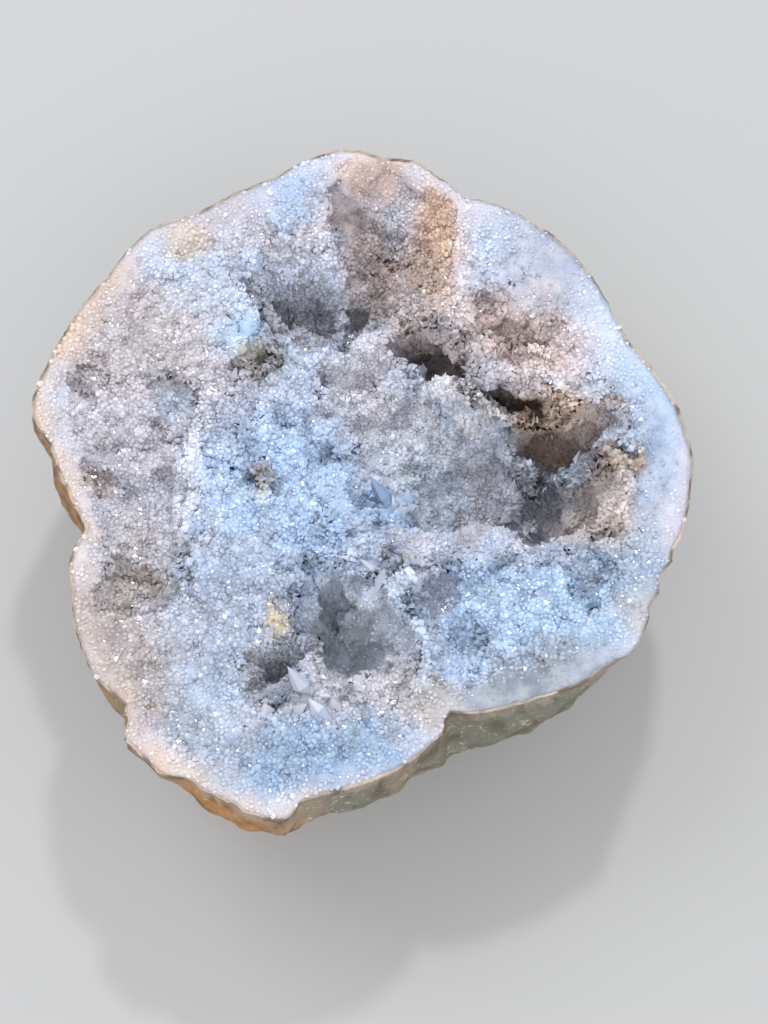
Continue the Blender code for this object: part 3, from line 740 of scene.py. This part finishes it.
def quartz_ground():
    """The lumpy top of the quartz, its edge points first, how much of it is druse, and its painted crease
    shade.
    """
    flat, triangles = face_layout(GROUND_PITCH, 3, steepness)
    depth = surface_depth(flat[:, 0], flat[:, 1])
    depth[:EDGE_POINTS] = EDGE_DROP
    points = np.column_stack([flat, FACE_HEIGHT - depth])
    share = druse_share(flat[:, 0], flat[:, 1], depth)
    inward = 1.0 - smooth_step(depth / LUMPS_FREE_DEPTH)
    base = LUMP_BASE + (1.0 - LUMP_BASE) * inward
    push = sum(rise * (lump_height(points, size) - base) for size, rise in LUMPS)
    push = np.maximum(push, -DEEPEST_CREASE) * (LUMPS_ON_BAND + (1.0 - LUMPS_ON_BAND) * share)
    push[:EDGE_POINTS] = 0.0
    points = points + normals_of(points, triangles) * push[:, None]
    points = lean_lips(points)
    # Painted shade: how much darker each point is painted in the creases between the lumps, less on the
    # band.
    crease = sum(weight * (1.0 - lump_height(points, size)) for size, weight in CREASE_SHADE)
    push = sum(rise * (lump_height(points, size) - 1.0) for size, rise in SMALL_LUMPS)
    push = push * (0.2 + 0.8 * share) * smooth_step(edge_distance(flat[:, 0], flat[:, 1]) / 4.0)
    push[:EDGE_POINTS] = 0.0
    points = keep_above_bed(points + normals_of(points, triangles) * push[:, None])
    return flat, points, triangles, depth, share, crease * (0.3 + 0.7 * share)


# Tints: name, centre x and y, half length, half width, turn, colour and strength.
TINTS = (
    ("lavender top band", -40, 76, 24, 10, 32, (0.50, 0.46, 0.53), 0.8),
    ("blue band right", 80, 8, 14, 40, -10, (0.36, 0.49, 0.69), 0.85),
    ("blue right low", 74, -30, 13, 17, -20, (0.27, 0.37, 0.52), 0.9),
    ("blue lower right", 44, -42, 34, 22, -8, (0.38, 0.58, 0.88), 0.9),
    ("blue lower band", -12, -80, 36, 14, 6, (0.22, 0.38, 0.61), 0.95),
    ("blue left face", -18, -6, 32, 40, 0, (0.39, 0.58, 0.89), 0.9),
    ("blue left low", -30, -44, 26, 30, 0, (0.33, 0.43, 0.61), 0.8),
    ("blue top patch", -20, 85, 13, 8, 30, (0.38, 0.52, 0.79), 0.85),
    ("blue scalloped", -38, 40, 14, 10, 0, (0.50, 0.72, 0.98), 0.85),
    ("blue top right", 54, 65, 24, 10, -38, (0.36, 0.40, 0.52), 0.85),
    ("blue crystals", 11, -6, 12, 10, 0, (0.25, 0.50, 0.86), 0.85),
    ("cream left band", -70, 42, 24, 34, 50, (0.50, 0.40, 0.39), 0.8),
    ("lavender trough", -62, -8, 20, 44, 4, (0.52, 0.49, 0.57), 0.75),
    ("cream trough low", -61, -24, 12, 14, 0, (0.56, 0.49, 0.48), 0.6),
    ("pink crest", -44, -8, 6, 34, -4, (0.78, 0.80, 0.92), 0.7),
    ("cream lower left", -62, -54, 16, 28, 32, (0.38, 0.29, 0.26), 0.85),
    ("yellow stain", -50, 68, 9, 7, 20, (0.64, 0.48, 0.32), 0.65),
    ("peach top", 4, 92, 16, 7, 0, (0.84, 0.60, 0.50), 0.85),
    ("orange chute", 21, 72, 9, 20, 4, (0.80, 0.46, 0.24), 0.85),
    ("grey chute", -2, 80, 9, 12, 0, (0.25, 0.18, 0.19), 0.85),
    ("brown chute", 9, 64, 17, 19, 0, (0.37, 0.23, 0.18), 0.88),
    ("peach curtain", 44, 51, 28, 14, -28, (0.76, 0.55, 0.49), 0.85),
    ("white curtain tip", 54, 33, 9, 8, -30, (0.84, 0.84, 0.95), 0.8),
    ("violet recess", -16, 54, 20, 14, -14, (0.27, 0.27, 0.36), 0.85),
    ("brown caves", 54, 24, 22, 13, -28, (0.90, 0.62, 0.44), 0.85),
    ("dark cave", 22, 46, 19, 10, -22, (0.76, 0.60, 0.55), 0.85),
    ("brown slit", 71, 2, 8, 4, -42, (0.30, 0.20, 0.12), 1.0),
    ("peach right", 66, -10, 13, 20, -8, (0.86, 0.67, 0.55), 0.75),
    ("slate floor", 36, -2, 24, 20, -10, (0.61, 0.61, 0.71), 0.75),
    ("blue floor", 20, 5, 15, 16, -10, (0.70, 0.82, 1.0), 0.75),
    ("grey lobe", 30, 28, 14, 11, -12, (1.0, 0.95, 0.98), 1.0),
    ("grey hole", -3, -44, 14, 21, 24, (0.84, 0.88, 0.97), 0.9),
    ("brown hole", -26, -58, 10, 8, 30, (0.34, 0.33, 0.36), 0.8),
    ("white ridge", 12, -40, 8, 18, 12, (0.48, 0.60, 0.78), 0.85),
    ("warm ridge", 11, -61, 9, 15, 12, (0.53, 0.48, 0.49), 0.75),
    ("tan lower", 22, -68, 10, 9, 0, (0.56, 0.44, 0.32), 0.6),
    ("tan crack", -25, -4, 2.5, 7, 10, (0.62, 0.50, 0.36), 0.7),
    ("tan patch", -26, -44, 4, 8, -10, (0.66, 0.50, 0.28), 0.9),
    ("yellow seam", -32, 35, 9, 4, -8, (0.70, 0.58, 0.42), 0.75),
    ("grey lower right", 46, -62, 30, 11, 18, (0.24, 0.27, 0.33), 0.95),
    ("pale bottom left", -40, -76, 18, 10, -40, (0.32, 0.39, 0.51), 0.75),
    ("brown trough pocket", -71, -5, 7, 5, -10, (0.42, 0.33, 0.30), 0.8),
    ("brown trough hollow", -61, -34, 12, 7, 22, (0.40, 0.32, 0.26), 0.85),
    ("brown edge", 76, -44, 10, 12, 30, (0.44, 0.38, 0.32), 0.6),
)
HAZE_BLUE = (0.52, 0.65, 0.87)
HAZE_LAVENDER = (0.62, 0.58, 0.66)
HAZE_GREY = (0.66, 0.66, 0.74)
RIM_TAN = (0.72, 0.50, 0.33)


def quartz_tint(points, flat, depth):
    """The colour of the quartz at each point, from the named tints, with uneven borders."""
    x = flat[:, 0] + 4.0 * noise_at(points, 9.0, 2.0) + 1.5 * noise_at(points, 3.0, 4.0)
    y = flat[:, 1] + 4.0 * noise_at(points, 9.0, 7.0) + 1.5 * noise_at(points, 3.0, 8.0)
    haze = 0.5 + 0.9 * noise_at(points, 22.0, 1.0) + 0.3 * noise_at(points, 6.0, 6.0)
    colour = blend(np.array(HAZE_LAVENDER), np.array(HAZE_BLUE), smooth_step(haze)[:, None])
    deep = smooth_step((depth - 10.0) / 26.0)[:, None]
    colour = blend(colour, np.array(HAZE_GREY), 0.75 * deep)
    for _, centre_x, centre_y, half_length, half_width, turn, tint, strength in TINTS:
        out = reach(x, y, centre_x, centre_y, half_length, half_width, turn)
        colour = blend(colour, np.array(tint), (strength * smooth_step(1.25 * (1.12 - out)))[:, None])
    left_edge = turn_mask(np.arctan2(y, x), 170.0, 75.0) + turn_mask(np.arctan2(y, x), 245.0, 30.0)
    edge = np.clip(1.0 - edge_distance(x, y) / 9.0, 0.0, 1.0) * np.clip(left_edge, 0.0, 1.0)
    return blend(colour, np.array(RIM_TAN), (0.85 * edge)[:, None])


def with_alpha(colour):
    return np.column_stack([colour, np.ones(len(colour))])


def milky_finish():
    """Hazy, faintly translucent quartz with a fine sugary grain."""
    material, tree, shader = new_material("milky_quartz")
    grain = place_grain(tree, 0.0011, 0.007)
    tint = read_attribute(tree, "tint", "Color")
    pale = mix_colours(tree, 0.25, tint, (0.86, 0.88, 0.92))
    colour = mix_colours(tree, stretch(tree, grain.outputs["Cloud"], 0.38, 0.64), tint, pale)
    tree.links.new(colour, shader.inputs["Base Color"])
    roughness = stretch(tree, grain.outputs["Height"], 0.35, 0.65, 0.28, 0.5)
    tree.links.new(roughness, shader.inputs["Roughness"])
    shader.inputs["IOR"].default_value = 1.544
    shader.inputs["Subsurface Weight"].default_value = 0.35
    shader.inputs["Subsurface Radius"].default_value = (1.0, 1.1, 1.3)
    shader.inputs["Subsurface Scale"].default_value = 0.002
    add_bump(tree, shader, grain.outputs["Height"], 0.0006)
    return material


ground_flat, ground_points, ground_triangles, ground_depth, ground_share, ground_crease_shade = quartz_ground()
ground_tint_and_shade = quartz_tint(ground_points, ground_flat, ground_depth)
# Painted shade: the tint is darkened in the creases between the lumps.
ground_tint_and_shade = ground_tint_and_shade * (1.0 - 0.28 * smooth_step(ground_crease_shade * 0.9))[:, None]


def quartz_body_shape():
    """The ground closed by a low step at its edge and the bed under it."""
    bed, bed_triangles = bed_surface(GAP)
    bed[:EDGE_POINTS] = edge_ring(step_width, FACE_HEIGHT - EDGE_DROP - CRUST_EDGE)
    start = len(ground_points)
    triangles = np.vstack([
        ground_triangles, band_between(start, 0), bed_triangles[:, ::-1] + start])
    return np.vstack([ground_points, bed]), triangles, len(bed)


body_points, body_triangles, bed_count = quartz_body_shape()
body_tint = np.vstack([ground_tint_and_shade, np.full((bed_count, 3), 0.6)])
quartz = make_piece(
    "quartz_body", body_points, body_triangles, {"tint": with_alpha(body_tint)}, milky_finish())
quartz.data.shade_smooth()
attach(quartz, "root")
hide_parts("crystal_crust")


# The druse: tens of thousands of small quartz points, each a millimetre or so wide, grown side by side out
# of the massive quartz and roughly square to it. Larger clear crystals grew in between, and the largest
# stand in groups by the lower hole and on the floor of the large hollow.

GROWTH = (
    ("lower hole front", -16, -66, 14, 5, 0, 1.0),
    ("blue crystals", 10, -3, 9, 6, 0, 1.0),
    ("white triangle", 23, -43.5, 2, 2, 0, 0.7),
    ("floor back", 44, -3, 6, 5, 0, 0.9),
    ("seam side", -38, 34, 5, 4, 0, 0.8),
    ("hole upper wall", 2, -31, 6, 4, 0, 0.7),
)


# Smooth places with hardly a crystal: centre x and y, half length, half width, turn and strength.
SMOOTH = (
    ("chute wall", -3, 84, 8, 10, 0, 0.9),
    ("top", 8, 92, 16, 5, -10, 0.7),
    ("peach lump", 41, 55, 7, 5, -10, 0.9),
    ("pale lump", 51, 62, 14, 7, -20, 0.8),
    ("scalloped lobe", -37, 44, 9, 8, 0, 0.85),
    ("round lump", 49, -4, 4, 4, 0, 0.9),
    ("right band", 84, 6, 9, 30, -12, 0.8),
    ("lower right edge", 50, -62, 30, 6, 18, 0.8),
    ("hole wall", 2, -46, 9, 15, 20, 0.7),
)


def crystal_seed(name):
    """A six-sided crystal of unit radius with its tip off the middle and its root in the quartz."""
    angles = np.arange(6) * math.pi / 3.0
    widths = np.array([1.0, 0.86, 1.05, 0.92, 0.98, 0.84])
    ring = np.column_stack([widths * np.cos(angles), widths * np.sin(angles), np.zeros(6)])
    points = [*ring.tolist(), (0.14, -0.09, 1.15), (0.0, 0.0, -2.0)]
    faces = [(number, (number + 1) % 6, 6) for number in range(6)]
    faces += [((number + 1) % 6, number, 7) for number in range(6)]
    mesh = bpy.data.meshes.new(name)
    mesh.from_pydata(points, [], faces)
    # The tip is marked, so that the finish paints each crystal lighter towards it: a painted highlight at
    # the tip, painted shade at the root.
    tip_highlight = mesh.attributes.new("tip", "FLOAT", "POINT")
    tip_highlight.data.foreach_set("value", [float(point[2] > 1.0) for point in points])
    seed = add_object(name, mesh)
    seed.hide_render = True
    return seed


def growth_tree():
    """Geometry nodes that grow crystals over a ground."""
    tree = bpy.data.node_groups.new("crystal_growth", "GeometryNodeTree")
    tree.interface.new_socket("Geometry", in_out="OUTPUT", socket_type="NodeSocketGeometry")
    for title, kind in (
            ("Geometry", "Geometry"), ("Crystal", "Object"), ("Finish", "Material"), ("Cover", "String"),
            ("Spacing", "Float"), ("Width", "Float"), ("Length", "Float"), ("Unevenness", "Float"),
            ("Tilt", "Float"), ("Sink", "Float"), ("Patch", "Float"), ("Seed", "Int")):
        tree.interface.new_socket(title, in_out="INPUT", socket_type="NodeSocket" + kind)
    given = add_node(tree, "NodeGroupInput")
    result = add_node(tree, "NodeGroupOutput")

    def link(value, socket):
        fill(tree, value, socket)

    def named(name):
        node = add_node(tree, "GeometryNodeInputNamedAttribute", data_type="FLOAT")
        link(name, node.inputs["Name"])
        return node.outputs[0]

    def calculate(operation, first, second):
        node = add_node(tree, "ShaderNodeMath", operation=operation)
        link(first, node.inputs[0])
        link(second, node.inputs[1])
        return node.outputs[0]

    def random_number(low, high, offset):
        node = add_node(tree, "FunctionNodeRandomValue", data_type="FLOAT")
        link(low, node.inputs[2])
        link(high, node.inputs[3])
        node.inputs["Seed"].default_value = offset
        return node.outputs[1]

    scatter = add_node(tree, "GeometryNodeDistributePointsOnFaces", distribute_method="POISSON")
    link(given.outputs["Geometry"], scatter.inputs["Mesh"])
    link(given.outputs["Spacing"], scatter.inputs["Distance Min"])
    scatter.inputs["Density Max"].default_value = 6.0e6
    link(named(given.outputs["Cover"]), scatter.inputs["Density Factor"])
    link(given.outputs["Seed"], scatter.inputs["Seed"])

    elsewhere = add_node(tree, "FunctionNodeCompare", data_type="FLOAT", operation="NOT_EQUAL")
    link(named("patch"), elsewhere.inputs[0])
    link(given.outputs["Patch"], elsewhere.inputs[1])
    elsewhere.inputs["Epsilon"].default_value = 0.25
    chosen = add_node(tree, "GeometryNodeDeleteGeometry", domain="POINT")
    link(scatter.outputs["Points"], chosen.inputs["Geometry"])
    link(elsewhere.outputs["Result"], chosen.inputs["Selection"])

    whim = add_node(tree, "GeometryNodeStoreNamedAttribute", data_type="FLOAT", domain="POINT")
    link(chosen.outputs["Geometry"], whim.inputs["Geometry"])
    whim.inputs["Name"].default_value = "whim"
    link(random_number(0.0, 1.0, 1), whim.inputs["Value"])

    lean = add_node(tree, "FunctionNodeRandomValue", data_type="FLOAT_VECTOR")
    lean.inputs[0].default_value = (-1.0, -1.0, -1.0)
    lean.inputs[1].default_value = (1.0, 1.0, 1.0)
    lean.inputs["Seed"].default_value = 2
    tilted = add_node(tree, "ShaderNodeVectorMath", operation="MULTIPLY_ADD")
    link(lean.outputs[0], tilted.inputs[0])
    link(given.outputs["Tilt"], tilted.inputs[1])
    link(scatter.outputs["Normal"], tilted.inputs[2])
    upright = add_node(tree, "FunctionNodeAlignRotationToVector", axis="Z")
    link(tilted.outputs[0], upright.inputs["Vector"])
    spin = add_node(tree, "FunctionNodeAxisAngleToRotation")
    spin.inputs["Axis"].default_value = (0.0, 0.0, 1.0)
    link(random_number(0.0, 6.283, 3), spin.inputs["Angle"])
    turned = add_node(tree, "FunctionNodeRotateRotation", rotation_space="LOCAL")
    link(upright.outputs["Rotation"], turned.inputs["Rotation"])
    link(spin.outputs["Rotation"], turned.inputs["Rotate By"])

    smallest = calculate("SUBTRACT", 1.0, given.outputs["Unevenness"])
    largest = calculate("ADD", 1.0, given.outputs["Unevenness"])
    size = calculate("MULTIPLY", named("growth"), random_number(smallest, largest, 4))
    width = calculate("MULTIPLY", size, given.outputs["Width"])
    scale = add_node(tree, "ShaderNodeCombineXYZ")
    link(width, scale.inputs["X"])
    link(calculate("MULTIPLY", width, random_number(0.75, 1.1, 5)), scale.inputs["Y"])
    link(calculate("MULTIPLY", calculate("MULTIPLY", size, given.outputs["Length"]),
                   random_number(0.8, 1.25, 6)), scale.inputs["Z"])
    grown = add_node(tree, "GeometryNodeInstanceOnPoints")
    seed = add_node(tree, "GeometryNodeObjectInfo", transform_space="ORIGINAL")
    link(given.outputs["Crystal"], seed.inputs["Object"])
    link(whim.outputs["Geometry"], grown.inputs["Points"])
    link(seed.outputs["Geometry"], grown.inputs["Instance"])
    link(turned.outputs["Rotation"], grown.inputs["Rotation"])
    link(scale.outputs[0], grown.inputs["Scale"])

    sunk = add_node(tree, "ShaderNodeCombineXYZ")
    depth = calculate("MULTIPLY", given.outputs["Sink"], calculate("SUBTRACT", named("share"), 1.0))
    link(depth, sunk.inputs["Z"])
    settled = add_node(tree, "GeometryNodeTranslateInstances")
    link(grown.outputs["Instances"], settled.inputs["Instances"])
    link(sunk.outputs[0], settled.inputs["Translation"])
    real = add_node(tree, "GeometryNodeRealizeInstances")
    link(settled.outputs["Instances"], real.inputs["Geometry"])
    finish = add_node(tree, "GeometryNodeSetMaterial")
    link(real.outputs["Geometry"], finish.inputs["Geometry"])
    link(given.outputs["Finish"], finish.inputs["Material"])
    link(finish.outputs["Geometry"], result.inputs[0])
    return tree


def outward_directions(rounds, lift):
    """The way the quartz faces at each point, evened out over its neighbours and turned up a little."""
    facing = normals_of(ground_points, ground_triangles)
    for _ in range(rounds):
        shared = facing[ground_triangles].sum(axis=1)
        total = np.column_stack([
            np.bincount(ground_triangles.ravel(), np.repeat(shared[:, axis], 3), len(ground_points))
            for axis in range(3)])
        facing = total / np.maximum(np.linalg.norm(total, axis=1), 1e-9)[:, None]
    facing = facing + (0.0, 0.0, lift)
    return facing / np.linalg.norm(facing, axis=1)[:, None]


def crystal_ground():
    """The quartz's top as a ground for the crystals: tint, cover, growth and patch at each point."""
    big = np.zeros(len(ground_points))
    x, y = ground_flat[:, 0], ground_flat[:, 1]
    for _, centre_x, centre_y, half_length, half_width, turn, strength in GROWTH:
        out = reach(x, y, centre_x, centre_y, half_length, half_width, turn)
        big = np.maximum(big, strength * smooth_step(2.0 * (1.0 - out)))
    smooth = np.zeros(len(ground_points))
    for _, centre_x, centre_y, half_length, half_width, turn, strength in SMOOTH:
        out = reach(x, y, centre_x, centre_y, half_length, half_width, turn)
        out = out + 0.25 * noise_at(ground_points, 4.0, 15.0)
        smooth = np.maximum(smooth, strength * smooth_step(2.5 * (1.0 - out)))
    inset = smooth_step((edge_distance(x, y) - 1.0) / 1.5) * (1.0 - 0.6 * smooth)
    uneven = 0.25 * noise_at(ground_points, 7.0, 11.0) + 0.15 * noise_at(ground_points, 3.0, 12.0)
    thinning = np.clip(0.75 + 1.0 * noise_at(ground_points, 10.0, 13.0), 0.2, 1.0)
    values = {
        "tint": with_alpha(ground_tint_and_shade),
        "outward": outward_directions(16, 0.7),
        "share": ground_share,
        "cover": inset * (0.85 + 0.15 * ground_share),
        "some_cover": inset * ground_share * thinning,
        "big_cover": big,
        "growth": (1.0 + uneven) * (0.82 + 0.18 * ground_share) * (1.0 - 0.5 * smooth),
    }
    hidden = new_material("ground")[0]
    ground = make_piece("crystal_ground", ground_points, ground_triangles, values, hidden)
    patch = ground.data.attributes.new("patch", "FLOAT", "FACE")
    middles = ground_points[ground_triangles].mean(axis=1)
    around = np.arctan2(middles[:, 1] - 4.0, middles[:, 0] - 8.0)
    patch.data.foreach_set("value", np.floor((around / math.pi + 1.0) * 1.9999).astype(np.float32))
    ground.hide_render = True
    return ground


def grow(name, ground, settings):
    """Grows one piece of crystals on the ground and makes it a plain mesh."""
    modifier = ground.modifiers.new("growth", "NODES")
    modifier.node_group = crystal_growth
    for item in crystal_growth.interface.items_tree:
        if item.item_type == "SOCKET" and item.in_out == "INPUT" and item.name in settings:
            modifier[item.identifier] = settings[item.name]
    graph = bpy.context.evaluated_depsgraph_get()
    mesh = bpy.data.meshes.new_from_object(ground.evaluated_get(graph), depsgraph=graph)
    ground.modifiers.remove(modifier)
    places = np.empty(len(mesh.vertices) * 3, np.float32)
    mesh.vertices.foreach_get("co", places)
    places = np.clip(places.reshape(-1, 3), np.array(cad_box[0]) + 1e-5, np.array(cad_box[1]) - 1e-5)
    mesh.vertices.foreach_set("co", places.astype(np.float32).ravel())
    mesh.name = name
    piece = add_object(name, mesh)
    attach(piece, "root")
    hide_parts("crystal_crust")
    return piece


def druse_finish(name, transmission, roughness, whiteness_and_highlight, softness):
    """Glassy, hazy quartz, each crystal a little different, with a painted highlight lighter towards each
    tip. Softness evens out the light on them.
    """
    material, tree, shader = new_material(name)
    grain = place_grain(tree, 0.0009, 0.004)
    tint = read_attribute(tree, "tint", "Color")
    whim = read_attribute(tree, "whim")
    # A lighter colour: each crystal takes some of it at random, and up to half more towards its tip as a
    # painted highlight.
    whiter_and_highlit = mix_colours(tree, whiteness_and_highlight, tint, (0.95, 0.96, 0.98))
    share = add_node(tree, "ShaderNodeMath", operation="MULTIPLY_ADD")
    tree.links.new(read_attribute(tree, "tip"), share.inputs[0])
    share.inputs[1].default_value = 0.5
    tree.links.new(stretch(tree, whim, 0.0, 1.0, 0.0, 0.35), share.inputs[2])
    colour = mix_colours(tree, share.outputs[0], tint, whiter_and_highlit)
    tree.links.new(colour, shader.inputs["Base Color"])
    shader.inputs["Transmission Weight"].default_value = transmission
    shader.inputs["IOR"].default_value = 1.544
    clouded = stretch(tree, grain.outputs["Cloud"], 0.3, 0.7, roughness, 2.2 * roughness)
    tree.links.new(clouded, shader.inputs["Roughness"])
    soften = add_node(tree, "ShaderNodeVectorMath", operation="MULTIPLY_ADD")
    tree.links.new(read_attribute(tree, "outward", "Vector"), soften.inputs[0])
    soften.inputs[1].default_value = (softness, softness, softness)
    tree.links.new(add_node(tree, "ShaderNodeNewGeometry").outputs["Normal"], soften.inputs[2])
    facing = add_node(tree, "ShaderNodeVectorMath", operation="NORMALIZE")
    tree.links.new(soften.outputs[0], facing.inputs[0])
    tree.links.new(facing.outputs[0], shader.inputs["Normal"])
    return material


crystal_growth = growth_tree()
ground = crystal_ground()
needle = crystal_seed("small_crystal")
druse_quartz = druse_finish("druse_quartz", 0.0, 0.10, 0.35, 1.4)
clear_quartz = druse_finish("clear_quartz", 0.3, 0.035, 0.65, 0.7)

# The crystals: name, finish, cover, spacing, width and length in millimetres, unevenness, tilt, how far
# they sink where the quartz is bare, seed and the sides where they grow.
SIDES = ("lower_left", "lower_right", "upper_right", "upper_left")
CRYSTALS = (
    ("druse_", druse_quartz, "cover", 1.0, 0.85, 0.55, 0.45, 0.35, 0.3, 5, (0, 1, 2, 3)),
    ("crystals_", clear_quartz, "some_cover", 1.8, 0.85, 0.98, 0.45, 0.45, 0.6, 21, (0, 1, 2, 3)),
    ("large_crystals_", clear_quartz, "big_cover", 2.6, 1.9, 2.4, 0.35, 0.45, 0.0, 31, (0, 1, 3)),
)
for title, finish, cover, spacing, width, length, unevenness, tilt, sink, seed, sides in CRYSTALS:
    for side in sides:
        grow(title + SIDES[side], ground, {
            "Crystal": needle, "Finish": finish, "Cover": cover, "Spacing": spacing * MM,
            "Width": width * MM, "Length": length * MM, "Unevenness": unevenness, "Tilt": tilt,
            "Sink": sink * MM, "Patch": float(side), "Seed": seed})
for helper in (ground, needle):
    bpy.data.objects.remove(helper)
